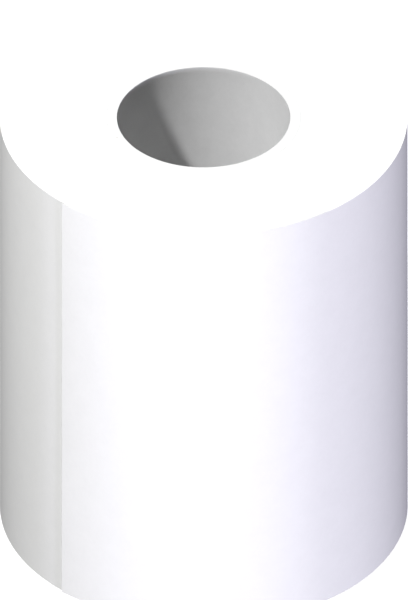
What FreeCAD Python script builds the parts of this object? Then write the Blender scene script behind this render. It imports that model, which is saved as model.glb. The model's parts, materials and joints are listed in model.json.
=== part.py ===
"""Seamless paper roll on a spiral-wound paperboard core, standing on end.

Frame: millimetres, +Z up along the roll's axis, origin at the centre of the base.
Angles in the plan are in degrees, counter-clockwise from +X, so -90 faces the front (-Y).

Core: six helically wound plies, each one strip whose two edges meet at a spiral butt seam.
Paper: one long web. The turns that stay put are wound_paper, whose outline is a spiral
that ends in a step one sheet high. The loose end of the web, from the place where it
leaves the roll to its free edge, is twelve strips that fold on eleven lines and on the
root line, so that the wound curve can be drawn out flat.
"""
import FreeCAD, Part
import math
import os

V = FreeCAD.Vector

# ---- driving dimensions, mm ----------------------------------------------------------
ROLL_HEIGHT = 156.8        # width of the web, which is the height of the roll on end
ROLL_DIA = 134.76          # over the outermost turn, at the step where the loose end leaves it
CORE_BORE_DIA = 57.15      # 2-1/4 in core bore
LINER_T = 0.40             # inner and outer liner plies
BOARD_T = 0.70             # each body ply
BOARD_PLIES = 4
SEAM_GAP = 0.15            # butt gap between the edges of one ply's strip, along the axis
SEAM_PITCH = 121.0         # advance of the spiral per turn
SEAM_START_DEG = -111.0    # the inner liner's seam at the base
SEAM_STAGGER = 63.0        # turn of each ply's seam from that of the ply under it, degrees
PAPER_T = 0.23             # one sheet
TAIL_AIR = 0.12            # air between the loose end and the turn under it
TAIL_ROOT_DEG = -52.23     # where the loose end leaves the roll
TAIL_EDGE_DEG = -133.77    # its free edge
TAIL_STRIPS = 12
TAIL_FOLD_GAP = 0.05       # between neighbouring strips at a fold line
TAIL_END_INSET = 0.30      # the loose end sits this far inside both ends of the roll
TAPE_T = 0.125             # double-sided starting tape
TAPE_WIDTH_DEG = 34.0      # 19 mm tape along the core's surface
TAPE_START_DEG = 128.0
TAPE_CLEAR = 0.06
SPIRAL_ARCS = 6            # tangent arcs that make up the outline's spiral

# ---- derived -------------------------------------------------------------------------
R_OUT = ROLL_DIA / 2.0
R_BORE = CORE_BORE_DIA / 2.0
PLY_T = [LINER_T] + [BOARD_T] * BOARD_PLIES + [LINER_T]
PLY_NAMES = ["core_inner_liner"] + ["core_board_ply_%d" % (i + 1) for i in range(BOARD_PLIES)] + ["core_outer_liner"]
R_CORE = R_BORE + sum(PLY_T)
R_UNDER = R_OUT - PAPER_T - TAIL_AIR     # the turn that the loose end lies on


def at(r, deg, z=0.0):
    a = math.radians(deg)
    return V(r * math.cos(a), r * math.sin(a), z)


def arc(r, a, b, z=0.0):
    """An arc about the axis, from a to b degrees."""
    return Part.Arc(at(r, a, z), at(r, (a + b) / 2.0, z), at(r, b, z)).toShape()


def line(p, q):
    return Part.LineSegment(p, q).toShape()


def sector(r0, r1, a, b, z0, z1):
    """A curved plate between two radii and two angles."""
    wire = Part.Wire([arc(r0, a, b, z0), line(at(r0, b, z0), at(r1, b, z0)),
                      arc(r1, b, a, z0), line(at(r1, a, z0), at(r0, a, z0))])
    return Part.Face(wire).extrude(V(0, 0, z1 - z0))


def tangent_arc(p, t, q):
    """The arc from p, leaving along the unit vector t, to q, and the direction it arrives in."""
    n = V(-t.y, t.x, 0)
    d = q.sub(p)
    rho = d.dot(d) / (2.0 * d.dot(n))
    c = p.add(n * rho)
    a = math.atan2(p.y - c.y, p.x - c.x)
    b = math.atan2(q.y - c.y, q.x - c.x)
    turn = (b - a) % (2 * math.pi)
    m = a + turn / 2.0
    mid = c.add(V(abs(rho) * math.cos(m), abs(rho) * math.sin(m), 0))
    out = V(-math.sin(b), math.cos(b), 0)
    return Part.Arc(p, mid, q).toShape(), out


def ply(r0, r1, start_deg):
    """A tube cut through by one helical slot from end to end: a strip wound edge to edge."""
    tube = Part.makeCylinder(r1, ROLL_HEIGHT).cut(Part.makeCylinder(r0, ROLL_HEIGHT))
    over = 6.0
    rm = (r0 + r1) / 2.0
    helix = Part.makeHelix(SEAM_PITCH, ROLL_HEIGHT + 2 * over, rm)
    half_r, half_z = (r1 - r0) / 2.0 + 0.25, SEAM_GAP / 2.0
    pts = [V(rm - half_r, 0, -half_z), V(rm + half_r, 0, -half_z), V(rm + half_r, 0, half_z), V(rm - half_r, 0, half_z)]
    profile = Part.makePolygon(pts + pts[:1])
    slot = Part.Wire(helix.Edges).makePipeShell([profile], True, True)
    slot.translate(V(0, 0, -over))
    slot.rotate(V(0, 0, 0), V(0, 0, 1), start_deg)
    return tube.cut(slot)


def wound_paper():
    """The turns that stay on the roll. Outside: the turn under the loose end, the step at its
    root, and the spiral from the step round the back to the free edge. Inside: the core,
    and a shallow pocket over the starting tape."""
    edges = [arc(R_UNDER, TAIL_EDGE_DEG, TAIL_ROOT_DEG), line(at(R_UNDER, TAIL_ROOT_DEG), at(R_OUT, TAIL_ROOT_DEG))]
    span = 360.0 - (TAIL_ROOT_DEG - TAIL_EDGE_DEG)
    p = at(R_OUT, TAIL_ROOT_DEG)
    t = at(1.0, TAIL_ROOT_DEG + 90.0)
    for k in range(1, SPIRAL_ARCS + 1):
        share = k / float(SPIRAL_ARCS)
        q = at(R_OUT - (R_OUT - R_UNDER) * share, TAIL_ROOT_DEG + span * share)
        if k == SPIRAL_ARCS:
            q = at(R_UNDER, TAIL_EDGE_DEG)
        e, t = tangent_arc(p, t, q)
        edges.append(e)
        p = q
    outer = Part.Face(Part.Wire(edges)).extrude(V(0, 0, ROLL_HEIGHT))
    a0, a1 = TAPE_START_DEG, TAPE_START_DEG + TAPE_WIDTH_DEG
    rp = R_CORE + TAPE_T + TAPE_CLEAR
    pad = math.degrees(TAPE_CLEAR / R_CORE)
    a0, a1 = a0 - pad, a1 + pad
    inner = Part.Wire([arc(rp, a0, a1), line(at(rp, a1), at(R_CORE, a1)),
                       arc(R_CORE, a1, a0 + 360.0), line(at(R_CORE, a0), at(rp, a0))])
    return outer.cut(Part.Face(inner).extrude(V(0, 0, ROLL_HEIGHT)))


def tail_strip(k):
    """Strip k of the loose end, 0 at the root, as it lies on the roll."""
    step = (TAIL_ROOT_DEG - TAIL_EDGE_DEG) / TAIL_STRIPS
    gap = math.degrees(TAIL_FOLD_GAP / 2.0 / R_OUT)
    hi = TAIL_ROOT_DEG - k * step - gap
    lo = TAIL_ROOT_DEG - (k + 1) * step + (gap if k < TAIL_STRIPS - 1 else 0.0)
    return sector(R_OUT - PAPER_T, R_OUT, lo, hi, TAIL_END_INSET, ROLL_HEIGHT - TAIL_END_INSET)


def main():
    os.makedirs("parts", exist_ok=True)
    made = {}
    r = R_BORE
    for i, (name, t) in enumerate(zip(PLY_NAMES, PLY_T)):
        made[name] = ply(r, r + t, SEAM_START_DEG + i * SEAM_STAGGER)
        r += t
    made["start_tape"] = sector(R_CORE, R_CORE + TAPE_T, TAPE_START_DEG, TAPE_START_DEG + TAPE_WIDTH_DEG, 0.0, ROLL_HEIGHT)
    made["wound_paper"] = wound_paper()
    for k in range(TAIL_STRIPS):
        made["paper_tail_%02d" % (k + 1)] = tail_strip(k)
    for name, shape in made.items():
        solids = shape.Solids
        if shape.ShapeType != "Solid" and len(solids) == 1:
            shape = solids[0]
        print("%-18s valid %s  solids %d  volume %.1f mm3" % (name, shape.isValid(), len(solids), shape.Volume))
        shape.exportStep("parts/%s.step" % name)
    step = (TAIL_ROOT_DEG - TAIL_EDGE_DEG) / TAIL_STRIPS
    for k in range(TAIL_STRIPS):
        h = at(R_OUT, TAIL_ROOT_DEG - k * step)
        print("fold %d at x %.5f y %.5f mm, range %.2f deg" % (k + 1, h.x, h.y, step))
    sheet_area = made["wound_paper"].Volume / ROLL_HEIGHT
    print("turns about %.0f, web about %.1f m at full density" % ((R_OUT - R_CORE) / PAPER_T, sheet_area / PAPER_T / 1000.0))


main()
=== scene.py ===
import json
import math

import bmesh
import bpy
import numpy as np
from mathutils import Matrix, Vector

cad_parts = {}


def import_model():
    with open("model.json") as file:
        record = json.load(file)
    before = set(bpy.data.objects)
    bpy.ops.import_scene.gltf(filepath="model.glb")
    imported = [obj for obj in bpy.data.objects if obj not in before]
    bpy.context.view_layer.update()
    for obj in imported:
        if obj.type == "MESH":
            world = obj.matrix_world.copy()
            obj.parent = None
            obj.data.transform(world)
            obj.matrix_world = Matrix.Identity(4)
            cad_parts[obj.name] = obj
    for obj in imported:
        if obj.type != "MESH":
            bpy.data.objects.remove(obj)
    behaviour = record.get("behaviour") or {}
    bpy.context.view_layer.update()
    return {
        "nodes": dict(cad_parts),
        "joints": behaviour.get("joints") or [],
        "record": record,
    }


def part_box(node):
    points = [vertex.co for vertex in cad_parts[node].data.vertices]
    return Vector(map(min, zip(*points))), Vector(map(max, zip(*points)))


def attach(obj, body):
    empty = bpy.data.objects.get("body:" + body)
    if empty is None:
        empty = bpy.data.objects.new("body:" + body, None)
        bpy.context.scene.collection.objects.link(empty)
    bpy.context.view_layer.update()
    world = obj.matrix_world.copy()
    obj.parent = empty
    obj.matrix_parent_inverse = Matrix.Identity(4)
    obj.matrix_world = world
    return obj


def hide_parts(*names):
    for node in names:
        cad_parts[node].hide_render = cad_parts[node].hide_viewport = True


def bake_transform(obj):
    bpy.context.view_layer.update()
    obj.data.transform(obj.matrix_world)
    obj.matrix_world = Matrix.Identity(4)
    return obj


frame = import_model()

# ---- sizes, metres and radians, read from the frame where it has them, the rest given ---
MM = 0.001
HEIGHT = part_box("wound_paper")[1].z
R_CORE = (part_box("core_outer_liner")[1].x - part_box("core_outer_liner")[0].x) / 2
R_BORE = next(m["dims"]["r_mm"] for m in frame["record"]["mounts"] if m["name"] == "core_bore") * MM
FOLDS = [j["pos_m"] for j in frame["joints"]]
STRIPS = len(FOLDS)
R_OUT = math.hypot(FOLDS[0][0], FOLDS[0][1])
ROOT = math.atan2(FOLDS[0][1], FOLDS[0][0])
STEP = (ROOT - math.atan2(FOLDS[-1][1], FOLDS[-1][0])) / (STRIPS - 1)
EDGE = ROOT - STRIPS * STEP + math.radians(0.2)  # the cut is a hair inside the last strip's end
SHEET = 0.23 * MM            # one thickness of paper
R_UNDER = R_OUT - 0.35 * MM  # the turn that the loose end lies on
WANDER = 0.20 * MM           # how far the turns' edges step in and out at the ends
WEB = HEIGHT - WANDER        # width of the web


# ---- shape functions --------------------------------------------------------------------
def wander(r):
    """How far up the web sits where it is wound at radius r, from 0 to WANDER."""
    t = (np.asarray(r, float) - R_CORE) / SHEET
    s = 0.50 + 0.15 * np.sin(t / 71.0 * 2 * np.pi + 0.4) + 0.12 * np.sin(t / 27.0 * 2 * np.pi + 2.1)
    s = s + 0.09 * np.sin(t / 13.7 * 2 * np.pi + 4.0) + 0.08 * np.sin(t / 7.9 * 2 * np.pi + 1.2) + 0.05 * np.sin(t / 5.3 * 2 * np.pi)
    s = s + (1.0 - s) * np.exp(-np.maximum(t, 0.0) / 5.0)  # level with the core at the first turns
    return WANDER * np.clip(s, 0.0, 1.0)


def handled(theta, z):
    """The slight unevenness of a roll that has been wound, stood and handled."""
    h = z / HEIGHT
    return MM * (
        0.030 * np.sin(2 * theta + 0.7 + 1.1 * h)
        + 0.022 * np.sin(3 * theta - 1.9 * h + 2.0) * np.cos(2.2 * h)
        + 0.012 * np.sin(7 * theta + 3.0 * h) * np.sin(5.0 * h + 0.6)
        + 0.010 * np.sin(5.5 * h * np.pi + 2 * np.sin(theta))
    )


def outline(share):
    """(angle, radius) of the wound turns' outside, share 0 at the step and 1 back at it."""
    turn = share * 2 * math.pi
    long_way = 2 * math.pi - (ROOT - EDGE)
    close = min(1.0, turn / math.radians(40.0))
    close = close * close * (3 - 2 * close)
    r = R_OUT - (R_OUT - R_UNDER) * (0.55 * close + 0.45 * min(1.0, turn / long_way))
    return ROOT + turn, r


# ---- materials --------------------------------------------------------------------------
class Nodes:
    """A short way to write a node tree."""

    def __init__(self, name):
        self.material = bpy.data.materials.new(name)
        self.material.use_nodes = True
        self.tree = self.material.node_tree
        self.tree.nodes.clear()
        self.out = self.add("ShaderNodeOutputMaterial")
        self.shader = self.add("ShaderNodeBsdfPrincipled")
        self.link(self.shader.outputs["BSDF"], self.out.inputs["Surface"])

    def add(self, kind, **values):
        node = self.tree.nodes.new(kind)
        for key, value in values.items():
            setattr(node, key, value)
        return node

    def link(self, a, b):
        self.tree.links.new(a, b)

    def feed(self, socket, value):
        if hasattr(value, "is_output"):
            self.link(value, socket)
        else:
            socket.default_value = value

    def math(self, operation, a, b=None, c=None, clamp=False):
        node = self.add("ShaderNodeMath", operation=operation, use_clamp=clamp)
        for socket, value in zip(node.inputs, (a, b, c)):
            if value is not None:
                self.feed(socket, value)
        return node.outputs[0]

    def place(self, scale):
        """Object coordinates in metres, times scale."""
        coords = self.add("ShaderNodeTexCoord")
        mapping = self.add("ShaderNodeMapping")
        mapping.inputs["Scale"].default_value = scale
        self.link(coords.outputs["Object"], mapping.inputs["Vector"])
        return mapping.outputs["Vector"]

    def noise(self, vector, scale=1.0, detail=2.0, roughness=0.5, dims="3D", w=None):
        node = self.add("ShaderNodeTexNoise", noise_dimensions=dims)
        if vector is not None:
            self.link(vector, node.inputs["Vector"])
        if w is not None:
            self.link(w, node.inputs["W"])
        node.inputs["Scale"].default_value = scale
        node.inputs["Detail"].default_value = detail
        node.inputs["Roughness"].default_value = roughness
        return node.outputs["Fac"]

    def ramp(self, value, stops):
        node = self.add("ShaderNodeValToRGB")
        while len(node.color_ramp.elements) > 1:
            node.color_ramp.elements.remove(node.color_ramp.elements[-1])
        first = True
        for place, colour in stops:
            e = node.color_ramp.elements[0] if first else node.color_ramp.elements.new(place)
            e.position, e.color, first = place, (*colour, 1.0), False
        self.link(value, node.inputs["Fac"])
        return node.outputs["Color"]

    def mix(self, fac, a, b, kind="MIX"):
        node = self.add("ShaderNodeMix", data_type="RGBA", blend_type=kind)
        self.feed(node.inputs["Factor"], fac)
        self.feed(node.inputs["A"], a)
        self.feed(node.inputs["B"], b)
        return node.outputs["Result"]

    def span(self, value, low, high):
        node = self.add("ShaderNodeMapRange")
        self.link(value, node.inputs["Value"])
        node.inputs["To Min"].default_value = low
        node.inputs["To Max"].default_value = high
        return node.outputs["Result"]

    def bump(self, height, distance, strength=1.0, normal=None):
        node = self.add("ShaderNodeBump")
        node.inputs["Strength"].default_value = strength
        node.inputs["Distance"].default_value = distance
        self.link(height, node.inputs["Height"])
        if normal is not None:
            self.link(normal, node.inputs["Normal"])
        return node.outputs["Normal"]


def paper(name, tone, mottle=0.02, tooth=0.00002, rough=0.0):
    """Uncoated white paper: a soft tooth of fibres, cloudy formation and no shine."""
    n = Nodes(name)
    clouds = n.noise(n.place((150.0, 150.0, 150.0)), detail=3.0, roughness=0.55)
    flocs = n.noise(n.place((900.0, 900.0, 620.0)), detail=2.0)
    fibres = n.noise(n.place((4200.0, 4200.0, 1700.0)), detail=2.0, roughness=0.6)
    shade = n.math("ADD", n.math("MULTIPLY", clouds, 0.6), n.math("MULTIPLY", flocs, 0.4))
    low = tuple(c * (1 - mottle) for c in tone)
    high = tuple(min(1.0, c * (1 + mottle * 0.6)) for c in tone)
    n.link(n.ramp(shade, [(0.30, low), (0.70, high)]), n.shader.inputs["Base Color"])
    n.link(n.span(flocs, 0.80, 0.94), n.shader.inputs["Roughness"])
    n.shader.inputs["Specular IOR Level"].default_value = 0.3
    n.shader.inputs["Diffuse Roughness"].default_value = rough
    relief = n.math("ADD", n.math("MULTIPLY", fibres, 0.7), n.math("MULTIPLY", flocs, 0.9))
    n.link(n.bump(relief, tooth, 0.8), n.shader.inputs["Normal"])
    return n.material


def cut_edges(name, tone, deep):
    """The ends of the roll: the cut edges of every turn, side by side along the spiral, with painted shade in the
    gaps between turns.
    """
    n = Nodes(name)
    coords = n.add("ShaderNodeTexCoord")
    apart = n.add("ShaderNodeSeparateXYZ")
    n.link(coords.outputs["Object"], apart.inputs["Vector"])
    x, y = apart.outputs["X"], apart.outputs["Y"]
    r = n.math("SQRT", n.math("ADD", n.math("MULTIPLY", x, x), n.math("MULTIPLY", y, y)))
    turn = n.math("DIVIDE", n.math("ARCTAN2", y, x), 2 * math.pi)
    layer = n.math("SUBTRACT", n.math("DIVIDE", r, SHEET), turn)
    number = n.math("FLOOR", layer)
    across = n.math("FRACT", layer)
    each = n.add("ShaderNodeTexWhiteNoise", noise_dimensions="1D")
    n.link(number, each.inputs["W"])
    own = each.outputs["Value"]
    packs = n.noise(None, scale=0.16, detail=3.0, roughness=0.6, dims="1D", w=layer)
    # profile across each turn: 0 at the line between turns, 1 across its middle; it raises each turn in the bump, and
    # in the colour it paints shade in the gaps
    crest_and_gap_shade = n.math("MULTIPLY", n.math("MULTIPLY", across, n.math("SUBTRACT", 1.0, across)), 4.0)
    grit = n.noise(n.place((1500.0, 1500.0, 1500.0)), detail=2.0)
    tonal = n.math("ADD", n.math("MULTIPLY", packs, 0.55), n.math("MULTIPLY", own, 0.25))
    # painted shade: the colour is darkest at the line between one turn and the next, where the gap falls in shade,
    # and lightest across each turn's middle; the grit mixes random tone into it
    tonal = n.math("ADD", tonal, n.math("MULTIPLY", n.math("MULTIPLY", crest_and_gap_shade, grit), 0.20))
    low = tuple(c * deep for c in tone)
    n.link(n.ramp(tonal, [(0.28, low), (0.52, tone)]), n.shader.inputs["Base Color"])
    n.shader.inputs["Roughness"].default_value = 0.92
    n.shader.inputs["Specular IOR Level"].default_value = 0.2
    relief = n.math("ADD", n.math("MULTIPLY", crest_and_gap_shade, 0.5), n.math("MULTIPLY", own, 0.5))
    relief = n.math("ADD", relief, n.math("MULTIPLY", grit, 0.4))
    n.link(n.bump(relief, 0.00003, 0.6), n.shader.inputs["Normal"])
    return n.material


def board(name, tone):
    """Paperboard: greyer, with longer fibres and specks, and laminations at the cut ends."""
    n = Nodes(name)
    fibres = n.noise(n.place((1800.0, 1800.0, 900.0)), detail=4.0, roughness=0.65)
    specks = n.noise(n.place((5200.0, 5200.0, 5200.0)), detail=0.0)
    coords = n.add("ShaderNodeTexCoord")
    apart = n.add("ShaderNodeSeparateXYZ")
    n.link(coords.outputs["Object"], apart.inputs["Vector"])
    x, y = apart.outputs["X"], apart.outputs["Y"]
    r = n.math("SQRT", n.math("ADD", n.math("MULTIPLY", x, x), n.math("MULTIPLY", y, y)))
    plies = n.noise(None, scale=7000.0, detail=1.0, dims="1D", w=r)
    tonal = n.math("ADD", n.math("MULTIPLY", fibres, 0.6), n.math("MULTIPLY", plies, 0.4))
    low = tuple(c * 0.90 for c in tone)
    base = n.ramp(tonal, [(0.32, low), (0.62, tone)])
    fleck = n.math("GREATER_THAN", specks, 0.78)
    n.link(n.mix(n.math("MULTIPLY", fleck, 0.25), base, (0.52, 0.50, 0.46, 1.0)), n.shader.inputs["Base Color"])
    n.shader.inputs["Roughness"].default_value = 0.9
    n.shader.inputs["Specular IOR Level"].default_value = 0.25
    n.link(n.bump(n.math("ADD", fibres, plies), 0.00004, 0.7), n.shader.inputs["Normal"])
    return n.material


WHITE = (0.86, 0.86, 0.852)
PAPER = paper("seamless_paper", WHITE)
EDGES = cut_edges("seamless_paper_edges", (0.87, 0.87, 0.86), 0.93)
LINER = paper("core_liner_paper", (0.70, 0.70, 0.70), mottle=0.035, tooth=0.00003, rough=0.15)
BOARD = board("core_board", (0.80, 0.795, 0.775))
TAPE = paper("start_tape_film", (0.82, 0.815, 0.79), mottle=0.01, tooth=0.000008)


# ---- meshes -----------------------------------------------------------------------------
def make(name, verts, faces, materials, slots=None, smooth_angle=40.0):
    mesh = bpy.data.meshes.new(name)
    mesh.from_pydata([tuple(v) for v in verts], [], faces)
    for m in materials:
        mesh.materials.append(m)
    if slots is not None:
        mesh.polygons.foreach_set("material_index", np.asarray(slots, np.int32))
    mesh.update()
    bm = bmesh.new()
    bm.from_mesh(mesh)
    bmesh.ops.recalc_face_normals(bm, faces=bm.faces)
    bm.to_mesh(mesh)
    bm.free()
    mesh.shade_smooth()
    mesh.set_sharp_from_angle(angle=math.radians(smooth_angle))
    mesh.update()
    obj = bpy.data.objects.new(name, mesh)
    bpy.context.scene.collection.objects.link(obj)
    return obj


def wound_roll():
    """The turns that stay on the roll, closed: outside, top end, inside, bottom end."""
    long_way = 2 * math.pi - (ROOT - EDGE)
    n1 = 280
    n2 = 82
    shares = [long_way / (2 * math.pi) * k / n1 for k in range(n1)]
    shares += [(long_way + (2 * math.pi - long_way) * k / n2) / (2 * math.pi) for k in range(n2 + 1)]
    cols = [outline(s) for s in shares]
    count = len(cols)
    theta = np.array([c[0] for c in cols])
    radius = np.array([c[1] for c in cols])
    rows, kinds = [], []
    soft = 0.05 * MM
    low = float(wander(R_OUT))
    share = [0.0, 0.0006, 0.0018, 0.005, 0.015] + [k / 30 for k in range(1, 30)] + [0.985, 0.995, 0.9982, 0.9994, 1.0]
    rings = 96

    def ring(r, z):
        return np.stack([r * np.cos(theta), r * np.sin(theta), np.broadcast_to(z, theta.shape)], 1)

    def end(u, top):
        r = radius + handled(theta, HEIGHT if top else 0.0) - soft - (radius - soft - R_CORE) * u
        r = np.maximum(r, R_CORE)
        z = wander(r) + (WEB if top else 0.0)
        return ring(r, z)

    for up in share:
        z = low + soft + (WEB - 2 * soft) * up
        rows.append(ring(radius + handled(theta, z), z))
        kinds.append(0)
    for k in range(rings + 1):
        rows.append(end(k / rings, True))
        kinds.append(1)
    for k in range(1, 8):
        z = HEIGHT - (HEIGHT) * k / 8
        rows.append(ring(np.full(count, R_CORE), z))
        kinds.append(0)
    for k in range(rings, -1, -1):
        rows.append(end(k / rings, False))
        kinds.append(1)
    verts = np.concatenate(rows)
    faces, slots = [], []
    total = len(rows)
    for i in range(total):
        j = (i + 1) % total
        slot = 1 if kinds[i] == 1 and kinds[j] == 1 else 0
        for c in range(count):
            d = (c + 1) % count
            faces.append((i * count + c, i * count + d, j * count + d, j * count + c))
            slots.append(slot)
    return make("roll_paper", verts, faces, [PAPER, EDGES], slots)


def tail_radius(theta, z):
    """The outside of the loose end: on the roll, and just proud of it at the free edge."""
    s = np.clip((ROOT - theta) / (ROOT - EDGE), 0.0, 1.0)
    lift = np.clip((s - 0.86) / 0.14, 0.0, 1.0) ** 2
    return R_OUT + handled(theta, z) + 0.30 * MM * lift * (1 + 0.15 * np.sin(2.3 * np.pi * z / HEIGHT + 0.5))


def tail_piece(name, a, b):
    """One length of the loose end between two angles, a sheet with both faces and its rim."""
    fine = 0.06 * MM / R_OUT
    arc = [0.0, fine] + [fine + (a - b - 2 * fine) * k / 7 for k in range(1, 8)] + [a - b]
    theta = a - np.array(arc)
    low = float(wander(R_OUT))
    z = low + WEB * np.array([0.0] + [0.0008] + [k / 30 for k in range(1, 30)] + [0.9992] + [1.0])
    tt, zz = np.meshgrid(theta, z, indexing="ij")
    ro = tail_radius(tt, zz)
    outer = np.stack([ro * np.cos(tt), ro * np.sin(tt), zz], -1)
    ri = ro - SHEET
    inner = np.stack([ri * np.cos(tt), ri * np.sin(tt), zz], -1)
    n, m = tt.shape
    verts = np.concatenate([outer.reshape(-1, 3), inner.reshape(-1, 3)])
    off = n * m
    faces, slots = [], []
    for i in range(n - 1):
        for j in range(m - 1):
            q = (i * m + j, (i + 1) * m + j, (i + 1) * m + j + 1, i * m + j + 1)
            faces.append(q)
            faces.append(tuple(off + v for v in reversed(q)))
            slots += [0, 0]
    for i in range(n - 1):
        for j in (0, m - 1):
            faces.append((i * m + j, off + i * m + j, off + (i + 1) * m + j, (i + 1) * m + j))
            slots.append(0)
    for j in range(m - 1):
        for i in (0, n - 1):
            faces.append((i * m + j, i * m + j + 1, off + i * m + j + 1, off + i * m + j))
            slots.append(0)
    return make(name, verts, faces, [PAPER], slots)


roll = wound_roll()
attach(roll, "roll")
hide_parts("wound_paper")

middles = [ROOT - (k + 0.5) * STEP for k in range(STRIPS)]
for k in range(STRIPS + 1):
    a = ROOT if k == 0 else middles[k - 1]
    b = EDGE if k == STRIPS else middles[k]
    piece = tail_piece("tail_sheet_%02d" % k, a, b)
    if k == STRIPS:
        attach(piece, "tail_%02d" % k)
        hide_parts("paper_tail_%02d" % k)
    else:
        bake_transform(piece)
        if k:
            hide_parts("paper_tail_%02d" % k)

for node, material in (("core_inner_liner", LINER), ("core_outer_liner", LINER), ("start_tape", TAPE),
                       *(("core_board_ply_%d" % k, BOARD) for k in range(1, 5))):
    obj = frame["nodes"][node]
    obj.data.materials.clear()
    obj.data.materials.append(material)


# ---- floor, light and camera ------------------------------------------------------------
def toward(azimuth, elevation):
    """Unit vector from the roll towards that side: azimuth 0 is the front, 90 the right."""
    a, e = math.radians(azimuth), math.radians(elevation)
    return Vector((math.sin(a) * math.cos(e), -math.cos(a) * math.cos(e), math.sin(e)))


def floor():
    n = Nodes("floor_pale")
    cloud = n.noise(n.place((2.0, 2.0, 2.0)), detail=3.0)
    n.link(n.ramp(cloud, [(0.3, (0.34, 0.34, 0.34)), (0.7, (0.36, 0.36, 0.36))]), n.shader.inputs["Base Color"])
    n.shader.inputs["Roughness"].default_value = 0.9
    n.shader.inputs["Specular IOR Level"].default_value = 0.1
    n.shader.inputs["Emission Color"].default_value = (1.0, 1.0, 1.0, 1.0)
    n.shader.inputs["Emission Strength"].default_value = 0.88
    mesh = bpy.data.meshes.new("floor")
    s = 20.0
    mesh.from_pydata([(-s, -s, 0), (s, -s, 0), (s, s, 0), (-s, s, 0)], [], [(0, 1, 2, 3)])
    mesh.materials.append(n.material)
    obj = bpy.data.objects.new("floor", mesh)
    bpy.context.scene.collection.objects.link(obj)
    obj.visible_diffuse = False
    obj.visible_glossy = False


def world():
    w = bpy.data.worlds.new("studio")
    bpy.context.scene.world = w
    w.use_nodes = True
    t = w.node_tree
    t.nodes.clear()
    out = t.nodes.new("ShaderNodeOutputWorld")
    seen = t.nodes.new("ShaderNodeBackground")
    seen.inputs["Color"].default_value = (1.0, 1.0, 1.0, 1.0)
    light = t.nodes.new("ShaderNodeBackground")
    light.inputs["Color"].default_value = (0.95, 0.96, 1.0, 1.0)
    light.inputs["Strength"].default_value = 0.035
    path = t.nodes.new("ShaderNodeLightPath")
    mix = t.nodes.new("ShaderNodeMixShader")
    t.links.new(path.outputs["Is Camera Ray"], mix.inputs["Fac"])
    t.links.new(light.outputs[0], mix.inputs[1])
    t.links.new(seen.outputs[0], mix.inputs[2])
    t.links.new(mix.outputs[0], out.inputs["Surface"])


def softbox(name, azimuth, elevation, strength, size, colour=(1.0, 1.0, 1.0)):
    """A plain square box, 2 m off, that lights the roll's middle as a sun of that strength does."""
    direction = toward(azimuth, elevation)
    data = bpy.data.lights.new(name, "AREA")
    data.shape = "SQUARE"
    data.size = size
    data.energy, data.color = strength * math.pi * 4.0, colour
    obj = bpy.data.objects.new(name, data)
    bpy.context.scene.collection.objects.link(obj)
    obj.location = direction * 2.0 + Vector((0, 0, HEIGHT / 2))
    obj.rotation_mode = "QUATERNION"
    obj.rotation_quaternion = (-direction).to_track_quat("-Z", "Y")
    obj.visible_camera = False


floor()
world()
softbox("key", -50.8, 53.75, 3.05, 0.12)
softbox("fill", 34.0, 1.0, 1.75, 0.20, (1.0, 0.972, 1.19))
softbox("front", 2.0, 1.0, 1.15, 0.20)
softbox("back", 178.0, 1.0, 1.9, 0.20)
softbox("top", 0.0, 90.0, 1.7, 0.40)

cam_data = bpy.data.cameras.new("camera")
cam_data.type = "ORTHO"
cam_data.ortho_scale = 600 * 0.32927 * MM
cam_data.clip_start, cam_data.clip_end = 0.01, 60.0
camera = bpy.data.objects.new("camera", cam_data)
bpy.context.scene.collection.objects.link(camera)
TILT = math.degrees(math.asin(math.tan(math.radians(30.0))))
back = toward(0.0, TILT)
up = Vector((0.0, math.sin(math.radians(TILT)), math.cos(math.radians(TILT))))
target = Vector((0.00015, 0.0, HEIGHT / 2)) + up * 0.00386
camera.location = target + back * 1.2
camera.rotation_mode = "QUATERNION"
camera.rotation_quaternion = (-back).to_track_quat("-Z", "Y")
bpy.context.scene.camera = camera
bpy.context.scene.view_settings.view_transform = "Standard"
bpy.context.scene.view_settings.look = "None"
